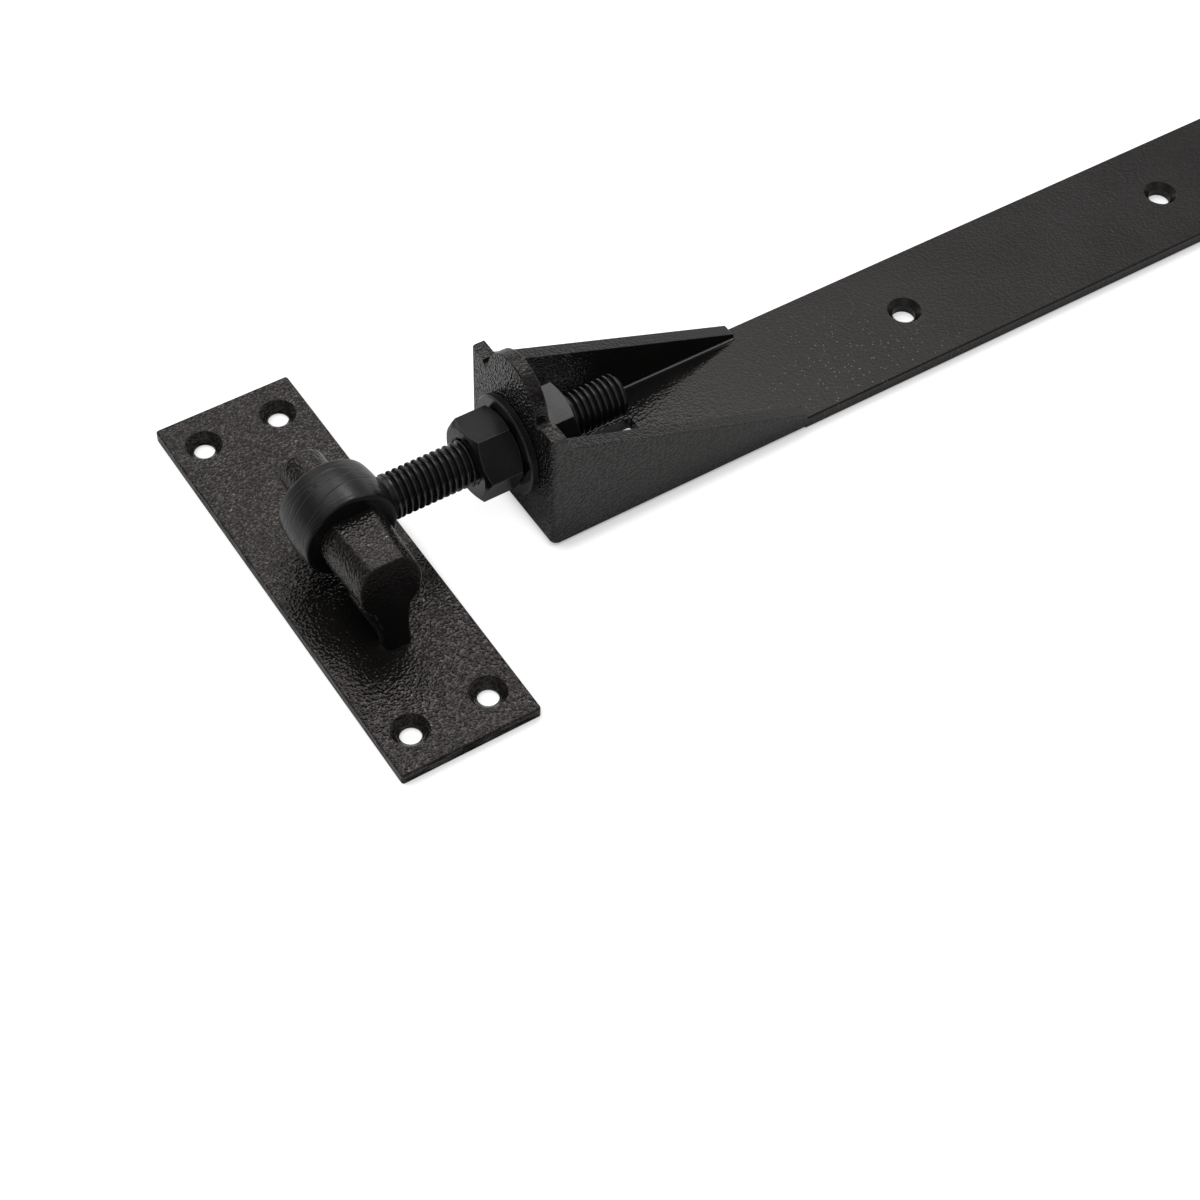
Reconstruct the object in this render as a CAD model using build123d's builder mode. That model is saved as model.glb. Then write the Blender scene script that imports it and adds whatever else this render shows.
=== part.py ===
from build123d import *
import os

# Hook and band hinge for a gate, lying on its back.
# Millimetres. z = 0 is the face of the post and of the gate: the backs of the plate and of the band.
# +X runs along the band to its far end, +Y along the pin to its free end, +Z away from the gate.
# The origin is the middle of the plate's back, straight behind the axis of the pin.

# Post plate, a flat bar
plate_length = 167.0
plate_width = 50.0
plate_thickness = 4.0
plate_corner = 1.0
plate_edge = 0.6
screw_along = 138.8
screw_across = 28.0
plate_hole_radius = 3.6
plate_sink_radius = 6.4

# Pin and hook, one forging riveted through the plate
pin_radius = 8.0
pin_axis_height = 28.8
pin_end_y = 23.4
pin_end_round = 1.4
shoulder_radius = 11.9
body_front_y = -46.0
body_front_radius = 10.6
body_flat_height = 38.5
knee_top_y = -33.6
knee_lean = 10.0
knee_edge = 0.8
foot_y = -35.2
foot_radius = 5.4
neck_height = 10.0
neck_half_width = 5.7
neck_half_depth = 6.2
neck_y = -34.0
throat_height = 17.0
throat_half_width = 8.0
throat_half_depth = 9.0
throat_y = -30.8
root_height = 24.0
root_half_width = 10.2
root_half_depth = 12.6
root_y = -26.4
leg_swing = 0.8
tail_radius = 4.6
tail_head_radius = 6.0
tail_clearance = 0.05

# Eye bolt, one forging: eye, neck and rod with a 5/8 inch coarse thread
arm_y = -2.4
eye_length = 19.0
eye_offset = 1.1
eye_shoulder_gap = 0.1
eye_bore_clearance = 0.1
eye_rim_wall = 8.2
eye_crown = 0.9
eye_edge = 1.2
eye_bore_chamfer = 0.6
thread_radius = 7.8
thread_start_x = 18.6
rod_end_x = 105.0
rod_end_chamfer = 1.5
neck_waist_step = 0.5
neck_waist_length = 2.3
web_start_x = 10.5
web_half_height = 12.6
web_half_width = 7.6
web_corner = 4.0

# Nuts and washer
nut_across_flats = 25.65
nut_height = 14.3
nut_chamfer_slope = 0.577
nut_face_radius = 12.2
nut_bore_clearance = 0.05
nut_bore_chamfer = 1.0
outer_nut_turn = 53.0
inner_nut_turn = 11.0
washer_radius = 17.5
washer_thickness = 3.0
washer_edge = 0.4
rod_hole_clearance = 0.9

# Band, one piece: strap, two cheeks and end tab
band_width = 50.0
band_thickness = 5.0
band_length = 450.0
band_end_corner = 3.0
tab_face_x = 63.5
tab_shoulder_height = 51.3
tab_fold_radius = 4.0
dome_radius = 14.8
dome_centre_height = 50.2
dome_edge = 0.5
notch_radius = 1.5
cheek_step_length = 2.0
cheek_step_height = 48.8
cheek_front_height = 44.8
cheek_length = 98.7
cheek_tip_step = 2.1
cheek_tip_round = 1.0
inner_fold_radius = 1.5
outer_fold_round = 1.6
strap_edge = 0.5
window_start = 16.7
window_length = 30.0
window_width = 14.2
window_corner = 0.8
strap_hole_radius = 4.2
strap_sink_radius = 6.3
first_hole_distance = 164.5
last_hole_distance = 43.9
hole_count = 3

# Angle of every countersink, and the reach within which an edge counts as lying at a size
sink_angle = 90
near = 0.05

# Sizes that follow from the ones above
eye_half = eye_length / 2
eye_y = arm_y + eye_offset
shoulder_y = eye_y - eye_half - eye_shoulder_gap
eye_bore_radius = pin_radius + eye_bore_clearance
eye_rim_radius = eye_bore_radius + eye_rim_wall
eye_crown_radius = eye_rim_radius + eye_crown
neck_waist_radius = thread_radius - neck_waist_step
neck_waist_x = thread_start_x - neck_waist_length
rod_hole_radius = thread_radius + rod_hole_clearance
nut_bore_radius = thread_radius + nut_bore_clearance
nut_corner_radius = nut_across_flats / 3 ** 0.5
nut_chamfer_depth = (nut_corner_radius - nut_face_radius) * nut_chamfer_slope
tab_back_x = tab_face_x + band_thickness
washer_face_x = tab_face_x - washer_thickness
outer_nut_x = washer_face_x - nut_height
band_end_x = tab_face_x + band_length
cheek_slope_x = tab_back_x + cheek_step_length
cheek_end_x = tab_back_x + cheek_length
cheek_tip_height = band_thickness + cheek_tip_step
half_band = band_width / 2
half_trough = half_band - band_thickness
window_x = tab_back_x + window_start + window_length / 2
hole_span = band_length - first_hole_distance - last_hole_distance
hole_pitch = hole_span / (hole_count - 1)
strap_hole_x = tab_face_x + first_hole_distance + hole_span / 2
dome_root = (dome_radius**2 - (tab_shoulder_height - dome_centre_height) ** 2) ** 0.5
rod_axis = Axis((0, arm_y, pin_axis_height), (1, 0, 0))
knee_top = Plane((0, knee_top_y, body_flat_height), x_dir=(1, 0, 0), z_dir=(0, -1, 0))
knee_plane = knee_top.rotated((-knee_lean, 0, 0))

os.makedirs("parts", exist_ok=True)

# Post plate: four screws sunk from the front, one hole for the hook's tail sunk from the back
with BuildPart() as post_plate:
    with BuildSketch():
        RectangleRounded(plate_width, plate_length, plate_corner)
    extrude(amount=plate_thickness)
    fillet(post_plate.faces().sort_by(Axis.Z)[-1].outer_wire().edges(), plate_edge)
    with Locations((0, 0, plate_thickness)):
        with GridLocations(screw_across, screw_along, 2, 2):
            CounterSinkHole(plate_hole_radius, plate_sink_radius, counter_sink_angle=sink_angle)
    with Locations(Location((0, foot_y, 0), (180, 0, 0))):
        CounterSinkHole(
            tail_radius + tail_clearance,
            tail_head_radius + tail_clearance,
            counter_sink_angle=sink_angle,
        )

# Hook: a straight pin, a thick body with a flat top, a knee cut off at a lean and a waisted leg.
# The leg is one smooth loft from the round foot up into the body's underside.
with BuildPart() as hook_pin:
    with BuildSketch(Plane.XZ.offset(-shoulder_y)):
        with Locations((0, pin_axis_height)):
            Circle(shoulder_radius)
    with BuildSketch(Plane.XZ.offset(-body_front_y)):
        with Locations((0, pin_axis_height)):
            Circle(body_front_radius)
    loft()
    split(bisect_by=Plane.XY.offset(body_flat_height), keep=Keep.BOTTOM)
    with BuildSketch(Plane.XY.offset(plate_thickness)):
        with Locations((0, foot_y)):
            Ellipse(foot_radius, foot_radius)
    with BuildSketch(Plane.XY.offset(neck_height)):
        with Locations((-leg_swing / 2, neck_y)):
            Ellipse(neck_half_width, neck_half_depth)
    with BuildSketch(Plane.XY.offset(throat_height)):
        with Locations((-leg_swing, throat_y)):
            Ellipse(throat_half_width, throat_half_depth)
    with BuildSketch(Plane.XY.offset(root_height)):
        with Locations((0, root_y)):
            Ellipse(root_half_width, root_half_depth)
    loft()
    split(bisect_by=knee_plane, keep=Keep.BOTTOM)
    knee_rim = hook_pin.faces().sort_by(Axis.Y)[0].outer_wire().edges()
    fillet(knee_rim.filter_by_position(Axis.Z, throat_height, body_flat_height + near), knee_edge)
    with BuildSketch(Plane.XZ.offset(-shoulder_y)):
        with Locations((0, pin_axis_height)):
            Circle(pin_radius)
    extrude(amount=shoulder_y - pin_end_y)
    fillet(hook_pin.faces().sort_by(Axis.Y)[-1].edges(), pin_end_round)
    with BuildSketch():
        with Locations((0, foot_y)):
            Circle(tail_radius)
    extrude(amount=plate_thickness)
    with BuildSketch():
        with Locations((0, foot_y)):
            Circle(tail_head_radius)
    extrude(amount=tail_head_radius - tail_radius, taper=sink_angle / 2)

# Eye bolt: a barrel-backed eye, a neck that grows out of it and a rod left plain at the thread's size
with BuildPart() as eye_bolt:
    with BuildSketch(Plane.YZ):
        with BuildLine():
            ThreePointArc(
                (eye_y - eye_half, pin_axis_height + eye_rim_radius),
                (eye_y, pin_axis_height + eye_crown_radius),
                (eye_y + eye_half, pin_axis_height + eye_rim_radius),
            )
            Polyline(
                (eye_y + eye_half, pin_axis_height + eye_rim_radius),
                (eye_y + eye_half, pin_axis_height + eye_bore_radius),
                (eye_y - eye_half, pin_axis_height + eye_bore_radius),
                (eye_y - eye_half, pin_axis_height + eye_rim_radius),
            )
        make_face()
    revolve(axis=Axis((0, 0, pin_axis_height), (0, 1, 0)))
    eye_ends = eye_bolt.faces().filter_by(Axis.Y)
    fillet([end.outer_wire().edge() for end in eye_ends], eye_edge)
    eye_ends = eye_bolt.faces().filter_by(Axis.Y)
    chamfer([end.inner_wires()[0].edge() for end in eye_ends], eye_bore_chamfer)
    with BuildSketch(Plane.YZ.offset(web_start_x)):
        with Locations((arm_y, pin_axis_height)):
            RectangleRounded(2 * web_half_width, 2 * web_half_height, web_corner)
    with BuildSketch(Plane.YZ.offset(neck_waist_x)):
        with Locations((arm_y, pin_axis_height)):
            Circle(neck_waist_radius)
    loft()
    with BuildSketch(Plane.YZ.offset(neck_waist_x)):
        with Locations((arm_y, pin_axis_height)):
            Circle(neck_waist_radius)
    with BuildSketch(Plane.YZ.offset(thread_start_x)):
        with Locations((arm_y, pin_axis_height)):
            Circle(thread_radius)
    loft()
    with BuildSketch(Plane.YZ.offset(thread_start_x)):
        with Locations((arm_y, pin_axis_height)):
            Circle(thread_radius)
    extrude(amount=rod_end_x - thread_start_x)
    chamfer(eye_bolt.faces().sort_by(Axis.X)[-1].edges(), rod_end_chamfer)

# Washer between the outer nut and the tab
with BuildPart() as outer_washer:
    with BuildSketch(Plane.YZ.offset(washer_face_x)):
        with Locations((arm_y, pin_axis_height)):
            Circle(washer_radius)
            Circle(rod_hole_radius, mode=Mode.SUBTRACT)
    extrude(amount=washer_thickness)
    washer_rims = outer_washer.edges().filter_by(GeomType.CIRCLE).group_by(SortBy.RADIUS)[-1]
    chamfer(washer_rims, washer_edge)


def hex_nut(face_x, turn):
    """A nut on the rod: its near face at face_x, a flat turned that many degrees, rims and bore chamfered."""
    end_x = face_x + nut_height
    with BuildPart() as nut:
        with BuildSketch(Plane.YZ.offset(face_x)):
            with Locations((arm_y, pin_axis_height)):
                RegularPolygon(nut_corner_radius, 6, rotation=turn)
                Circle(nut_bore_radius, mode=Mode.SUBTRACT)
        extrude(amount=nut_height)
        chamfer(nut.edges().filter_by(GeomType.CIRCLE), nut_bore_chamfer)
        with BuildSketch(Plane.XY.offset(pin_axis_height)):
            with BuildLine():
                Polyline(
                    (face_x, arm_y),
                    (face_x, arm_y + nut_face_radius),
                    (face_x + nut_chamfer_depth, arm_y + nut_corner_radius),
                    (end_x - nut_chamfer_depth, arm_y + nut_corner_radius),
                    (end_x, arm_y + nut_face_radius),
                    (end_x, arm_y),
                    close=True,
                )
            make_face()
        revolve(axis=rod_axis, mode=Mode.INTERSECT)
    return nut


# Outer nut on the eye's side of the tab, inner nut between the cheeks
outer_nut = hex_nut(outer_nut_x, outer_nut_turn)
inner_nut = hex_nut(tab_back_x, inner_nut_turn)

# Band: the side profile gives the folded tab and the cheeks, the trough is cut out between them,
# and the flat strap runs on from the end of the fold
with BuildPart() as band:
    with BuildSketch(Plane.XZ.offset(-arm_y)):
        with BuildLine() as side_profile:
            Polyline(
                (tab_face_x, 0),
                (cheek_end_x, 0),
                (cheek_end_x, cheek_tip_height),
                (cheek_slope_x, cheek_front_height),
                (tab_back_x, cheek_step_height),
                (tab_back_x, tab_shoulder_height),
                (tab_face_x, tab_shoulder_height),
                close=True,
            )
        make_face()
        fillet(side_profile.vertices().sort_by_distance((tab_face_x, 0, 0))[0], tab_fold_radius)
    extrude(amount=half_band, both=True)
    with BuildSketch(Plane.YZ.offset(tab_back_x)):
        with Locations((arm_y, band_thickness)):
            Rectangle(2 * half_trough, tab_shoulder_height, align=(Align.CENTER, Align.MIN))
    extrude(amount=cheek_end_x - tab_back_x, mode=Mode.SUBTRACT)
    trough_side = half_trough + near
    trough = band.edges().filter_by_position(Axis.Y, arm_y - trough_side, arm_y + trough_side)
    trough_floor = trough.filter_by_position(Axis.Z, band_thickness - near, band_thickness + near)
    trough_floor = trough_floor.filter_by_position(Axis.X, tab_face_x, cheek_end_x - near)
    trough_corners = trough.filter_by(Axis.Z)
    trough_corners = trough_corners.filter_by_position(Axis.X, tab_back_x - near, tab_back_x + near)
    fillet(trough_floor + trough_corners, inner_fold_radius)
    cheek_tips = band.edges().filter_by(Axis.Y).filter_by_position(
        Axis.Z, cheek_tip_height - near, cheek_tip_height + near
    )
    fillet(cheek_tips, cheek_tip_round)
    band_sides = band.edges().filter_by(GeomType.LINE).filter_by(Axis.X).group_by(Axis.Z)[0]
    fold_arcs = band.edges().filter_by(GeomType.CIRCLE).group_by(Axis.X)[0]
    tab_sides = band.edges().filter_by(Axis.Z).group_by(Axis.X)[0]
    fillet(band_sides + fold_arcs + tab_sides, outer_fold_round)
    with BuildSketch(Plane.YZ.offset(tab_face_x)):
        with Locations((arm_y, dome_centre_height)):
            Circle(dome_radius)
    extrude(amount=band_thickness)
    dome_rims = band.edges().filter_by(GeomType.CIRCLE).filter_by(
        lambda rim: abs(rim.radius - dome_radius) < near
    )
    fillet(dome_rims, dome_edge)
    with BuildSketch(Plane.YZ.offset(cheek_end_x)):
        with Locations((arm_y, band_thickness / 2)):
            Rectangle(band_width, band_thickness)
    extrude(amount=band_end_x - cheek_end_x)
    strap_sides = band.edges().filter_by(Axis.X).filter_by_position(Axis.X, cheek_end_x + near, band_end_x)
    chamfer(strap_sides, strap_edge)
    with BuildSketch(Plane.YZ.offset(tab_face_x)):
        with Locations((arm_y, pin_axis_height)):
            Circle(rod_hole_radius)
        with Locations(
            (arm_y - dome_root - notch_radius, tab_shoulder_height),
            (arm_y + dome_root + notch_radius, tab_shoulder_height),
        ):
            Circle(notch_radius)
    extrude(amount=band_thickness, mode=Mode.SUBTRACT)
    with BuildSketch():
        with Locations((window_x, arm_y)):
            RectangleRounded(window_length, window_width, window_corner)
    extrude(amount=band_thickness, mode=Mode.SUBTRACT)
    with Locations((strap_hole_x, arm_y, band_thickness)):
        with GridLocations(hole_pitch, 0, hole_count, 1):
            CounterSinkHole(strap_hole_radius, strap_sink_radius, counter_sink_angle=sink_angle)
    fillet(band.edges().filter_by(Axis.Z).group_by(Axis.X)[-1], band_end_corner)

post_plate.part.label = "post_plate"
hook_pin.part.label = "hook_pin"
eye_bolt.part.label = "eye_bolt"
outer_washer.part.label = "outer_washer"
outer_nut.part.label = "outer_nut"
inner_nut.part.label = "inner_nut"
band.part.label = "band"

export_step(post_plate.part, "parts/post_plate.step")
export_step(hook_pin.part, "parts/hook_pin.step")
export_step(eye_bolt.part, "parts/eye_bolt.step")
export_step(outer_washer.part, "parts/outer_washer.step")
export_step(outer_nut.part, "parts/outer_nut.step")
export_step(inner_nut.part, "parts/inner_nut.step")
export_step(band.part, "parts/band.step")
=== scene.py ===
import math

import bmesh
import bpy
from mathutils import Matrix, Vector


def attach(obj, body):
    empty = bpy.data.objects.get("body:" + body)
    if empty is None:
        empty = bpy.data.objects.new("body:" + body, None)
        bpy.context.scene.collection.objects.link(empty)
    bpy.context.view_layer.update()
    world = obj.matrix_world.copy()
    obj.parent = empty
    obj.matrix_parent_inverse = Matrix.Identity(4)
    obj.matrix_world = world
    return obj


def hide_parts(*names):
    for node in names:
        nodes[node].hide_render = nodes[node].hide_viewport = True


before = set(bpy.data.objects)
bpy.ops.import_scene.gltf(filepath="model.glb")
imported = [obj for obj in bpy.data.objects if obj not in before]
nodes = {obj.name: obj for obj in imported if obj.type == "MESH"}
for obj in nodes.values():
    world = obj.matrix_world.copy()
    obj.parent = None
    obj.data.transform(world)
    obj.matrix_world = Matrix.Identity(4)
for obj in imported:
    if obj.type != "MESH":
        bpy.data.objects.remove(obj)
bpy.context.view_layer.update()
scene = bpy.context.scene
MM = 0.001

# Rod of the eye bolt, as in the CAD model: 5/8 inch, 11 turns to the inch
ROD_Y, ROD_Z = -2.4 * MM, 28.8 * MM
ROD_END, ROD_CHAMFER = 105.0 * MM, 1.5 * MM
PITCH = 25.4 / 11 * MM
CREST, ROOT = 7.8 * MM, 6.35 * MM

# Folds between the band's strap and cheeks: their heights, where they end along the band,
# and how far from its middle they start, stop and carry one painted highlight stripe
FOLD_LOW, FOLD_HIGH, FOLD_END = 5.03 * MM, 6.6 * MM, 167.0 * MM
FOLD_INNER, FOLD_OUTER, FOLD_LINE = 18.45 * MM, 20.05 * MM, 19.5 * MM
ABOVE_FOLD = 6.8 * MM

# Camera: place, turn and lens worked out from the photograph
AZIMUTH, ELEVATION, ROLL = (math.radians(d) for d in (-36.368, 51.595, 3.777))
FOCAL_PX, CENTRE_X, CENTRE_Y, IMAGE = 2481.93, 651.45, 617.88, 1200.0
SENSOR = 36.0
back = Vector((
    math.sin(AZIMUTH) * math.cos(ELEVATION),
    -math.cos(AZIMUTH) * math.cos(ELEVATION),
    math.sin(ELEVATION),
))
level_right = Vector((0, 0, 1)).cross(back).normalized()
level_up = back.cross(level_right)
right = level_right * math.cos(ROLL) + level_up * math.sin(ROLL)
up = level_up * math.cos(ROLL) - level_right * math.sin(ROLL)
camera_data = bpy.data.cameras.new("camera")
camera_data.sensor_fit = "HORIZONTAL"
camera_data.sensor_width = SENSOR
camera_data.lens = SENSOR * FOCAL_PX / IMAGE
camera_data.shift_x = 0.5 - CENTRE_X / IMAGE
camera_data.shift_y = CENTRE_Y / IMAGE - 0.5
camera_data.clip_start = 0.01
camera_data.clip_end = 50.0
camera = bpy.data.objects.new("camera", camera_data)
scene.collection.objects.link(camera)
camera.rotation_mode = "QUATERNION"
camera.location = (-0.22007, -0.47070, 0.62915)
turn = camera.matrix_world.to_3x3()
turn.col[0], turn.col[1], turn.col[2] = right, up, back
camera.rotation_quaternion = turn.to_quaternion()
scene.camera = camera


class Graph:
    """Adds nodes to a material or world and wires them."""

    def __init__(self, owner):
        owner.use_nodes = True
        self.tree = owner.node_tree
        self.tree.nodes.clear()
        self.count = 0

    def add(self, kind, inputs=None, **settings):
        node = self.tree.nodes.new(kind)
        node.location = (220 * (self.count % 9), -260 * (self.count // 9))
        self.count += 1
        for name, value in settings.items():
            setattr(node, name, value)
        for name, value in (inputs or {}).items():
            if isinstance(value, bpy.types.NodeSocket):
                self.tree.links.new(value, node.inputs[name])
            else:
                node.inputs[name].default_value = value
        return node

    def math(self, operation, a, b=0.0):
        return self.add("ShaderNodeMath", {0: a, 1: b}, operation=operation).outputs[0]

    def times(self, first, *others):
        for other in others:
            first = self.math("MULTIPLY", first, other)
        return first

    def plus(self, first, *others):
        for other in others:
            first = self.math("ADD", first, other)
        return first

    def vector(self, operation, a, b=(0.0, 0.0, 0.0)):
        return self.add("ShaderNodeVectorMath", {0: a, 1: b}, operation=operation).outputs

    def distance(self, a, b):
        return self.vector("DISTANCE", a, b)["Value"]

    def axes(self, vector):
        return self.add("ShaderNodeSeparateXYZ", {0: vector}).outputs

    def stretched(self, vector, scale):
        return self.add("ShaderNodeMapping", {"Vector": vector, "Scale": scale}).outputs[0]

    def remap(self, value, low, high, to_low=0.0, to_high=1.0):
        """Smooth step from to_low at low to to_high at high."""
        ends = {"From Min": low, "From Max": high, "To Min": to_low, "To Max": to_high}
        return self.add(
            "ShaderNodeMapRange", {"Value": value, **ends}, interpolation_type="SMOOTHSTEP"
        ).outputs["Result"]

    def blend(self, share, a, b):
        """a where share is 0, b where it is 1, and beyond b above that."""
        return self.add(
            "ShaderNodeMapRange", {"Value": share, "To Min": a, "To Max": b}, clamp=False
        ).outputs["Result"]

    def mix_colour(self, factor, a, b):
        return self.add("ShaderNodeMix", {0: factor, 6: a, 7: b}, data_type="RGBA").outputs[2]

    def noise(self, vector, scale, detail=2.0, roughness=0.5, distortion=0.0):
        return self.add(
            "ShaderNodeTexNoise",
            {
                "Vector": vector,
                "Scale": scale,
                "Detail": detail,
                "Roughness": roughness,
                "Distortion": distortion,
            },
        ).outputs["Fac"]

    def place(self):
        return self.add("ShaderNodeTexCoord").outputs["Object"]

    def rounded(self, radius):
        """Normal with the edges rounded over."""
        return self.add("ShaderNodeBevel", {"Radius": radius}, samples=4).outputs[0]

    def bump(self, strength, depth, height, normal):
        return self.add(
            "ShaderNodeBump",
            {"Strength": strength, "Distance": depth, "Height": height, "Normal": normal},
        ).outputs[0]

    def output(self, kind, shader):
        self.add(kind, {"Surface": shader.outputs[0]})


def grey(level, warm=0.0):
    return (level * (1 + warm), level, level * (1 - warm / 2), 1.0)


def edge_mask(g, radius):
    """1 along the edges of a solid, from a rounded normal set against the true one."""
    true = g.add("ShaderNodeNewGeometry").outputs["Normal"]
    return g.remap(g.vector("DOT_PRODUCT", g.rounded(radius), true)["Value"], 0.995, 0.90)


def own_normal(g, axis):
    """The surface's direction along an axis of its piece, which turns with the piece."""
    return g.axes(g.add("ShaderNodeTexCoord").outputs["Normal"])[axis]


# Both coats
BLACK, IOR = 0.0052, 1.5

# Powder coat: the scales of its patterns, per metre, and its skin
PEBBLES, WAVES, GRIT, PATCHES = 1050.0, 1120.0, 2600.0, 38.0
# The last is the pale grey of rubbed wear and of painted highlights
PEEL_DEPTH, ROUGHNESS, SMOOTH_GLOSS, WEAR_AND_HIGHLIGHT_GREY = 0.44 * MM, 0.16, 0.38, 0.16


def powder_coat(
    name, warm=0.06, peel=1.0, round_over=0.45 * MM, specks_per_m=380.0, sparse=0.58,
    calm=None, dull=None, wear_and_highlight=None, sparkle=None,
):
    """Black powder coat with an orange-peel skin: rounded pebbles about a millimetre across.

    Where it differs over a piece, calm says how much of the peel there is, dull how much of the
    gloss, sparkle how much of the glints, and the pale-mark function how far the colour is made
    pale, by rubbing and by painted highlights.
    """
    material = bpy.data.materials.new(name)
    g = Graph(material)
    place = g.place()
    pebbles = g.add(
        "ShaderNodeTexVoronoi",
        {"Vector": place, "Scale": PEBBLES, "Smoothness": 0.6},
        feature="SMOOTH_F1",
    ).outputs["Distance"]
    waves = g.noise(place, WAVES, 0.0, 0.5, 0.3)
    grit = g.noise(place, GRIT, 2.0, 0.6)
    patches = g.noise(place, PATCHES, 3.0, 0.55)
    height = g.plus(g.times(pebbles, -0.22), g.times(waves, 0.85), g.times(grit, 0.008))
    specks = g.add("ShaderNodeTexVoronoi", {"Vector": place, "Scale": specks_per_m}).outputs
    glints = g.times(
        g.remap(specks["Distance"], 0.07, 0.18, 2.2, 0.0),
        g.remap(specks["Color"], sparse, sparse + 0.1),
    )
    if sparkle:
        glints = g.times(glints, sparkle(g, place))
    edges = edge_mask(g, 0.6 * MM)
    strength = g.remap(patches, 0.25, 0.75, 0.75 * peel, peel)
    gloss = g.remap(height, 0.20, 0.46, 0.33, 0.64)
    if calm:
        share = calm(g, place)
        strength = g.times(strength, share)
        gloss = g.blend(share, SMOOTH_GLOSS, gloss)
    gloss = g.times(gloss, g.plus(glints, 1.0))
    colour = g.mix_colour(g.remap(patches, 0.3, 0.7), grey(BLACK, warm), grey(BLACK * 1.5, warm))
    colour = g.mix_colour(g.times(edges, 0.45), colour, grey(BLACK * 4.0, warm))
    # Pale marks: rubbed wear, and painted highlights along edges and folds
    if wear_and_highlight:
        colour = g.mix_colour(wear_and_highlight(g, place), colour, grey(WEAR_AND_HIGHLIGHT_GREY))
    roughness = g.remap(patches, 0.25, 0.75, ROUGHNESS - 0.04, ROUGHNESS + 0.05)
    shader = g.add(
        "ShaderNodeBsdfPrincipled",
        {
            "Base Color": colour,
            "Roughness": g.plus(roughness, g.times(edges, 0.06)),
            "Normal": g.bump(strength, PEEL_DEPTH, height, g.rounded(round_over)),
            "IOR": IOR,
            "Specular IOR Level": g.times(gloss, dull(g, place)) if dull else gloss,
            "Specular Tint": grey(1.0, warm),
        },
    )
    g.output("ShaderNodeOutputMaterial", shader)
    return material


def satin_coat(name, rough=0.24, forge=0.0, edge_wear_and_highlight=4.5, dull=None):
    """Thin smooth black coat on a forging or a nut, with faint draw lines and handling marks."""
    material = bpy.data.materials.new(name)
    g = Graph(material)
    place = g.place()
    cloud = g.noise(place, 90.0, 4.0, 0.6)
    fine = g.noise(place, 1500.0, 3.0, 0.6)
    dents = g.noise(place, 240.0, 2.0, 0.5)
    height = g.plus(g.times(dents, 0.7), g.times(fine, 0.16))
    if forge:
        lines = g.noise(g.stretched(place, (55.0, 900.0, 55.0)), 1.0, 3.0, 0.6)
        seams = g.noise(g.stretched(place, (26.0, 300.0, 26.0)), 1.0, 1.0, 0.5)
        seams = g.math("ABSOLUTE", g.math("SUBTRACT", seams, 0.47))
        seams = g.remap(seams, 0.0, 0.022, -0.7 * forge, 0.0)
        height = g.plus(height, g.times(lines, forge), seams)
    edges = edge_mask(g, 0.5 * MM)
    colour = g.mix_colour(g.remap(cloud, 0.3, 0.7), grey(BLACK), grey(BLACK * 1.6))
    # Edges paled: rubbed, and on the nut strongly enough to stand in for a painted highlight along
    # them
    colour = g.mix_colour(g.times(edges, 0.5), colour, grey(BLACK * edge_wear_and_highlight))
    shader = g.add(
        "ShaderNodeBsdfPrincipled",
        {
            "Base Color": colour,
            "Roughness": g.remap(cloud, 0.25, 0.75, rough - 0.05, rough + 0.07),
            "Normal": g.bump(0.35, 0.22 * MM, height, g.rounded(0.4 * MM)),
            "IOR": IOR,
            "Specular IOR Level": g.times(dull(g, place), 0.5) if dull else 0.5,
        },
    )
    g.output("ShaderNodeOutputMaterial", shader)
    return material


def dull_sides(g, place):
    """The sheared sides of a flat bar hold less gloss than its faces, in streaks."""
    streaks = g.noise(g.stretched(place, (150.0, 150.0, 700.0)), 1.0)
    side = g.remap(streaks, 0.38, 0.62, 0.08, 0.75)
    flat = g.math("ABSOLUTE", own_normal(g, "Z"))
    return g.blend(g.remap(flat, 0.2, 0.8), side, 1.0)


def dull_front(g, place):
    """End faces toward -Y are sawn and dull."""
    return g.remap(own_normal(g, "Y"), -0.9, -0.35, 0.25, 1.1)


def from_middle(g, where):
    """Distance from the middle of the band's width."""
    return g.math("ABSOLUTE", g.math("SUBTRACT", where["Y"], ROD_Y))


def in_fold(g, where, mask):
    """Keeps a mask to the height and length of the band's folds."""
    return g.times(
        mask,
        g.math("LESS_THAN", where["Z"], FOLD_HIGH),
        g.math("GREATER_THAN", where["Z"], FOLD_LOW),
        g.math("LESS_THAN", where["X"], FOLD_END),
    )


def dull_folds(g, place):
    """Deep in the band's folds the coat is dull, and it shines more toward the strap's end."""
    where = g.axes(place)
    across = from_middle(g, where)
    inside = g.times(
        g.math("GREATER_THAN", across, FOLD_INNER), g.math("LESS_THAN", across, FOLD_OUTER)
    )
    along = g.remap(where["X"], 0.14, 0.45, 0.95, 1.07)
    return g.times(g.blend(in_fold(g, where, inside), 1.0, 0.2), along)


def dull_roots(g, place):
    """The roots of a thread see little but its own flanks."""
    off_axis = g.vector("SUBTRACT", place, (0.0, ROD_Y, ROD_Z))["Vector"]
    radial = g.vector("MULTIPLY", off_axis, (0.0, 1.0, 1.0))["Vector"]
    return g.remap(g.vector("LENGTH", radial)["Value"], 6.5 * MM, 7.7 * MM, 0.25, 1.3)


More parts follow.
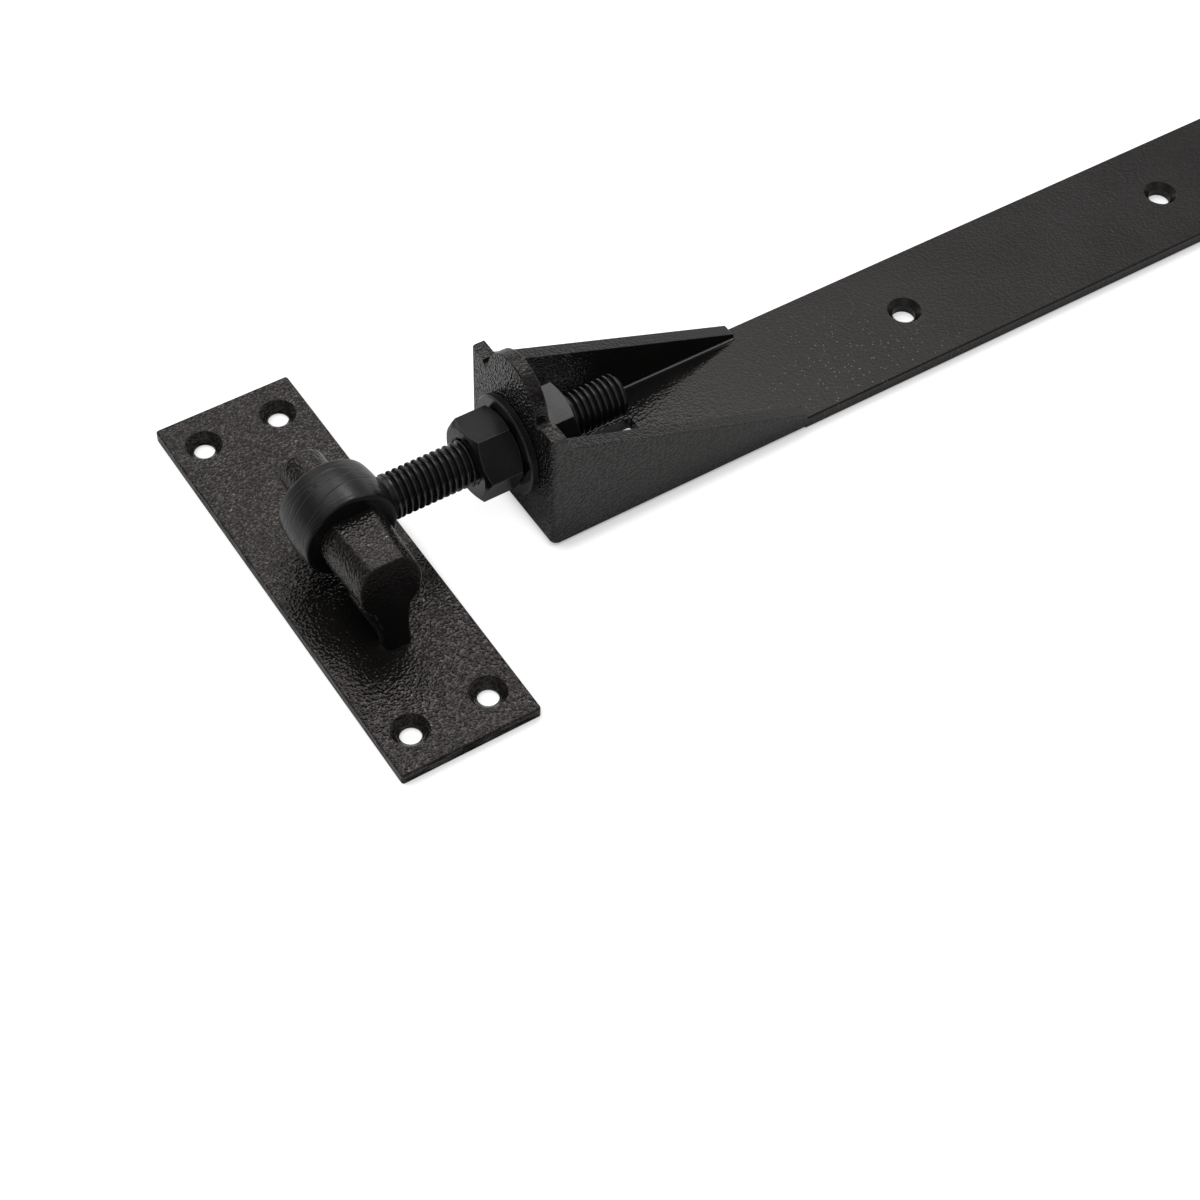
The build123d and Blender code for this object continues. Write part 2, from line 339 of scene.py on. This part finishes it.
def band_highlights_and_wear(g, place):
    """One painted highlight along each of the band's folds, and pale rims on cheeks and tab:
    rubbed, and painted highlights too.
    """
    where = g.axes(place)
    beside = g.math("ABSOLUTE", g.math("SUBTRACT", from_middle(g, where), FOLD_LINE))
    # Painted highlight: a thin pale stripe along each fold
    fold_highlight = in_fold(g, where, g.remap(beside, 0.12 * MM, 0.3 * MM, 1.0, 0.0))
    rim_patchiness = g.remap(g.noise(place, 260.0), 0.35, 0.60, 0.04, 0.24)
    # Pale rims above the folds: rubbed, and painted highlights as well
    rim_wear_and_highlight = g.times(edge_mask(g, 0.5 * MM), rim_patchiness, g.math("GREATER_THAN", where["Z"], ABOVE_FOLD))
    return g.math("MAXIMUM", fold_highlight, rim_wear_and_highlight)


def hook_highlights_and_wear(g, place):
    """Pale spots along the edge of the knee, rubbed and painted highlights both, and a rubbed arc
    on the rounded end of the pin.
    """
    where = g.axes(place)
    # Knee's edge: pale spots, rubbing and painted highlight together
    rim_wear_and_highlight = g.times(
        edge_mask(g, 0.8 * MM),
        g.remap(g.noise(place, 420.0), 0.42, 0.60, 0.0, 0.45),
        g.math("LESS_THAN", where["Y"], -30.0 * MM),
        g.math("GREATER_THAN", where["Z"], 14.0 * MM),
    )
    slope = own_normal(g, "Y")
    arc = g.times(
        g.remap(slope, 0.25, 0.4),
        g.remap(slope, 0.55, 0.75, 1.0, 0.0),
        g.math("GREATER_THAN", where["Y"], 21.5 * MM),
        g.remap(where["X"], 1.0 * MM, 4.0 * MM),
    )
    return g.math("MAXIMUM", rim_wear_and_highlight, arc)


def sparkle_patch(g, place):
    """The band glitters in one patch just past the cheeks, on its near half."""
    return g.remap(g.distance(place, (0.197, -0.027, 0.005)), 14.0 * MM, 60.0 * MM, 2.4, 0.0)


def calm_plate(g, place):
    """The coat flowed out smoother on the plate beside the hook's foot."""
    return g.remap(g.distance(place, (-0.012, -0.034, 0.004)), 10.0 * MM, 26.0 * MM, 0.55, 1.0)


def calm_band(g, place):
    """The band's coat runs smooth past the cheeks and is coarse on the tab's face."""
    x = g.axes(place)["X"]
    tab = g.remap(own_normal(g, "X"), -0.9, -0.6, 3.8, 1.0)
    along = g.plus(g.remap(x, 0.08, 0.16, 0.80, 0.11), g.remap(x, 0.20, 0.32, 0.0, 0.10))
    cheek = g.remap(own_normal(g, "Y"), -0.9, -0.6, 0.44, 0.0)
    return g.math("MAXIMUM", g.times(tab, along), cheek)


def calm_hook(g, place):
    """The hook's sawn knee face, its flat top and its leg carry less peel."""
    face = g.remap(own_normal(g, "Y"), -0.75, -0.45, 0.3, 1.0)
    top = g.remap(own_normal(g, "Z"), 0.93, 0.99, 1.0, 0.8)
    leg = g.remap(g.axes(place)["Z"], 20.0 * MM, 28.0 * MM, 0.45, 1.0)
    return g.times(face, top, leg)


def paint(obj, material):
    obj.data.materials.clear()
    obj.data.materials.append(material)


def make_piece(name, mesh, material, body):
    obj = bpy.data.objects.new(name, mesh)
    scene.collection.objects.link(obj)
    paint(obj, material)
    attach(obj, body)
    return obj


plate_coat = powder_coat("plate_coat", warm=0.09, calm=calm_plate, dull=dull_sides)
hook_coat = powder_coat(
    "hook_coat", warm=0.09, peel=1.1, round_over=1.2 * MM,
    calm=calm_hook, dull=dull_front, wear_and_highlight=hook_highlights_and_wear,
)
band_coat = powder_coat(
    "band_coat", peel=0.95, specks_per_m=600.0, sparse=0.25,
    calm=calm_band, dull=dull_folds, wear_and_highlight=band_highlights_and_wear, sparkle=sparkle_patch,
)
bolt_coat = satin_coat("bolt_coat", forge=1.6, dull=dull_front)
thread_coat = satin_coat("thread_coat", rough=0.15, dull=dull_roots)
# The nut's edges are paled into a painted highlight as well as rubbing
nut_coat = satin_coat("nut_coat", rough=0.21, edge_wear_and_highlight=17.0)
for node, coat in (
    ("post_plate", plate_coat),
    ("hook_pin", hook_coat),
    ("band", band_coat),
    ("outer_washer", nut_coat),
    ("outer_nut", nut_coat),
    ("inner_nut", nut_coat),
):
    paint(nodes[node], coat)

# Threaded rod, with crests and roots rounded by the coat. It starts inside the forging.
THREAD_START, FIRST_CREST = 17.6 * MM, 22.7 * MM
RUN_OUT_START, RUN_OUT_LENGTH = 18.4 * MM, 1.2 * MM
STEPS_PER_TURN, STEPS_PER_PITCH = 72, 18


def clamp(value):
    return min(1.0, max(0.0, value))


def thread_radius(x, angle):
    """Radius of the rod's surface at a place along it and an angle round it."""
    phase = (x - FIRST_CREST) / PITCH - angle / (2 * math.pi)
    wave = 0.5 + 0.5 * math.cos(2 * math.pi * phase)
    crest = clamp((wave - 0.10) / 0.82)
    run_out = clamp((x - RUN_OUT_START) / RUN_OUT_LENGTH)
    depth = (1 - crest * crest * (3 - 2 * crest)) * run_out
    chamfer = CREST - max(0.0, x - (ROD_END - ROD_CHAMFER))
    return min(CREST - (CREST - ROOT) * depth, chamfer)


def thread_mesh(name):
    """A closed rod whose surface follows the thread's helix."""
    rows = round((ROD_END - THREAD_START) / PITCH * STEPS_PER_PITCH)
    bm = bmesh.new()
    rings = []
    for i in range(rows + 1):
        x = THREAD_START + (ROD_END - THREAD_START) * i / rows
        ring = []
        for k in range(STEPS_PER_TURN):
            angle = 2 * math.pi * k / STEPS_PER_TURN
            r = thread_radius(x, angle)
            ring.append(bm.verts.new((x, ROD_Y + r * math.sin(angle), ROD_Z + r * math.cos(angle))))
        rings.append(ring)
    for a, b in zip(rings, rings[1:]):
        for k in range(STEPS_PER_TURN):
            n = (k + 1) % STEPS_PER_TURN
            bm.faces.new((a[k], a[n], b[n], b[k]))
    bm.faces.new(rings[-1])
    bm.faces.new(list(reversed(rings[0])))
    bmesh.ops.recalc_face_normals(bm, faces=bm.faces)
    mesh = bpy.data.meshes.new(name)
    for face in bm.faces:
        face.smooth = len(face.verts) == 4
    bm.to_mesh(mesh)
    bm.free()
    return mesh


thread = make_piece(
    "eye_bolt_thread", thread_mesh("eye_bolt_thread"), thread_coat, "eye_bolt"
)

# Forged eye and neck: the CAD solid up to the thread, remeshed and softened where neck meets eye
FORGING_END, VOXEL = 18.5 * MM, 0.28 * MM
JUNCTION_START, JUNCTION_END, FADE_IN, FADE_OUT = 10.0, 18.2, 2.5, 0.8
EVEN_ROUNDS, JUNCTION_ROUNDS = 1, 5
forging = nodes["eye_bolt"].data.copy()
forging.name = "eye_bolt_forging"
bm = bmesh.new()
bm.from_mesh(forging)
bmesh.ops.bisect_plane(
    bm,
    geom=bm.verts[:] + bm.edges[:] + bm.faces[:],
    plane_co=(FORGING_END, 0, 0),
    plane_no=(1, 0, 0),
    clear_outer=True,
)
bmesh.ops.remove_doubles(bm, verts=bm.verts, dist=1e-7)
bmesh.ops.holes_fill(bm, edges=[e for e in bm.edges if e.is_boundary])
bm.to_mesh(forging)
bm.free()
eye = make_piece("eye_bolt_forging", forging, bolt_coat, "eye_bolt")
remesh = eye.modifiers.new("remesh", "REMESH")
remesh.mode = "VOXEL"
remesh.voxel_size = VOXEL
remesh.use_smooth_shade = True
depsgraph = bpy.context.evaluated_depsgraph_get()
remeshed = bpy.data.meshes.new_from_object(eye.evaluated_get(depsgraph))
eye.modifiers.clear()
eye.data = remeshed
paint(eye, bolt_coat)
junction = eye.vertex_groups.new(name="junction")
for vertex in remeshed.vertices:
    x = vertex.co.x / MM
    weight = clamp((x - JUNCTION_START) / FADE_IN) * clamp((JUNCTION_END - x) / FADE_OUT)
    junction.add([vertex.index], weight, "REPLACE")
for name, rounds, group in (("even", EVEN_ROUNDS, ""), ("soften", JUNCTION_ROUNDS, "junction")):
    soften = eye.modifiers.new(name, "SMOOTH")
    soften.factor = 0.5
    soften.iterations = rounds
    soften.vertex_group = group
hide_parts("eye_bolt")
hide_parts("eye_bolt")

# Floor: white to the camera and dim in reflections, most of all under the nut, where the dimming is
# painted shade. A painted contact shadow along the pieces' edges darkens its glow, and it keeps the
# shadow.
FLOOR_HALF, FLOOR_DROP = 8.0, 0.2 * MM
UNDER_NUT = (0.062, -0.008, 0.0)
floor_material = bpy.data.materials.new("floor")
g = Graph(floor_material)
ray = g.add("ShaderNodeLightPath").outputs
mirrored = g.math("MAXIMUM", ray["Is Glossy Ray"], ray["Is Transmission Ray"])
# Painted contact shadow: occlusion within 7 mm, leaning to one side, darkens the floor's glow
leaning = g.add("ShaderNodeCombineXYZ", {0: -0.35, 1: 0.45, 2: 0.82}).outputs[0]
painted_contact_shadow = g.add(
    "ShaderNodeAmbientOcclusion", {"Distance": 7.0 * MM, "Normal": leaning}, samples=8
).outputs["AO"]
# Camera glow: white, with the painted contact shadow cut into it
white_with_painted_shadow = g.remap(painted_contact_shadow, 0.30, 1.0, 0.38, 0.90)
# Painted shade in reflections: the mirrored glow falls away near the spot under the nut and at the
# painted contact shadow
away = g.distance(g.add("ShaderNodeNewGeometry").outputs["Position"], UNDER_NUT)
near = g.times(
    g.remap(painted_contact_shadow, 0.35, 1.0, 0.1, 1.0), g.remap(away, 18.0 * MM, 36.0 * MM, 0.02, 0.20)
)
shine = g.plus(g.times(ray["Is Camera Ray"], white_with_painted_shadow), g.times(mirrored, near))
glow = g.add("ShaderNodeEmission", {"Color": grey(1.0), "Strength": shine})
paper = g.add("ShaderNodeBsdfDiffuse", {"Color": grey(0.42)})
both = g.add("ShaderNodeAddShader", {0: paper.outputs[0], 1: glow.outputs[0]})
g.output("ShaderNodeOutputMaterial", both)
floor_mesh = bpy.data.meshes.new("floor")
corners = [(-FLOOR_HALF, -FLOOR_HALF, 0), (FLOOR_HALF, -FLOOR_HALF, 0)]
corners += [(FLOOR_HALF, FLOOR_HALF, 0), (-FLOOR_HALF, FLOOR_HALF, 0)]
floor_mesh.from_pydata(corners, [], [(0, 1, 2, 3)])
floor = bpy.data.objects.new("floor", floor_mesh)
floor.location = (0, 0, -FLOOR_DROP)
scene.collection.objects.link(floor)
paint(floor, floor_material)


def toward(azimuth, elevation):
    """Unit vector, azimuth in degrees from +X toward +Y."""
    a, e = math.radians(azimuth), math.radians(elevation)
    return Vector((math.cos(e) * math.cos(a), math.cos(e) * math.sin(a), math.sin(e)))


def soft_light(name, aim, direction, distance, size, power):
    """A rectangular lamp that lights the coats but isn't mirrored in them: the world does that."""
    data = bpy.data.lights.new(name, "AREA")
    data.shape = "RECTANGLE"
    data.size, data.size_y = size
    data.energy = power
    lamp = bpy.data.objects.new(name, data)
    lamp.location = Vector(aim) + direction * distance
    lamp.rotation_mode = "QUATERNION"
    lamp.rotation_quaternion = direction.to_track_quat("Z", "Y")
    lamp.visible_glossy = False
    scene.collection.objects.link(lamp)


soft_light("softbox", (0.1, 0, 0.02), toward(46, 60), 1.3, (0.42, 0.34), 2.1)
soft_light("fill", (0.1, 0, 0.0), toward(-140, 76), 1.5, (0.9, 0.9), 11.0)

# World: a studio that is palest behind the hinge, with a darker gap under the softboxes there,
# and white to the camera. Each patch of light has a direction, a sharpness and a strength.
BRIGHT_SIDE, BRIGHT_POWER, BRIGHT, DARK = toward(58, 13), 2.2, 0.78, 0.06
GAP_DEPTH = 0.45
PATCHES_OF_LIGHT = (
    (toward(102, 56), 24.0, 0.80),
    (toward(54, 56), 60.0, 1.9),
    (toward(35, 63), 160.0, 2.4),
    (toward(-40, 38), 16.0, 0.3),
    (toward(-120, 38), 8.0, 0.4),
)
world = bpy.data.worlds.new("studio")
scene.world = world
g = Graph(world)
direction = g.add("ShaderNodeTexCoord").outputs["Generated"]
half_way = g.times(g.plus(g.vector("DOT_PRODUCT", direction, BRIGHT_SIDE)["Value"], 1.0), 0.5)
level = g.plus(g.times(g.math("POWER", half_way, BRIGHT_POWER), BRIGHT), DARK)
height = g.axes(direction)["Z"]
gap = g.math("SUBTRACT", g.remap(height, 0.15, 0.40), g.remap(height, 0.58, 0.77))
level = g.times(level, g.math("SUBTRACT", 1.0, g.times(gap, GAP_DEPTH)))
for axis, sharpness, strength in PATCHES_OF_LIGHT:
    toward_it = g.math("MAXIMUM", g.vector("DOT_PRODUCT", direction, axis)["Value"], 0.0)
    level = g.plus(level, g.times(g.math("POWER", toward_it, sharpness), strength))
level = g.math("MAXIMUM", level, g.add("ShaderNodeLightPath").outputs["Is Camera Ray"])
sky = g.add("ShaderNodeBackground", {"Color": grey(1.0), "Strength": level})
g.output("ShaderNodeOutputWorld", sky)

scene.view_settings.view_transform = "Standard"
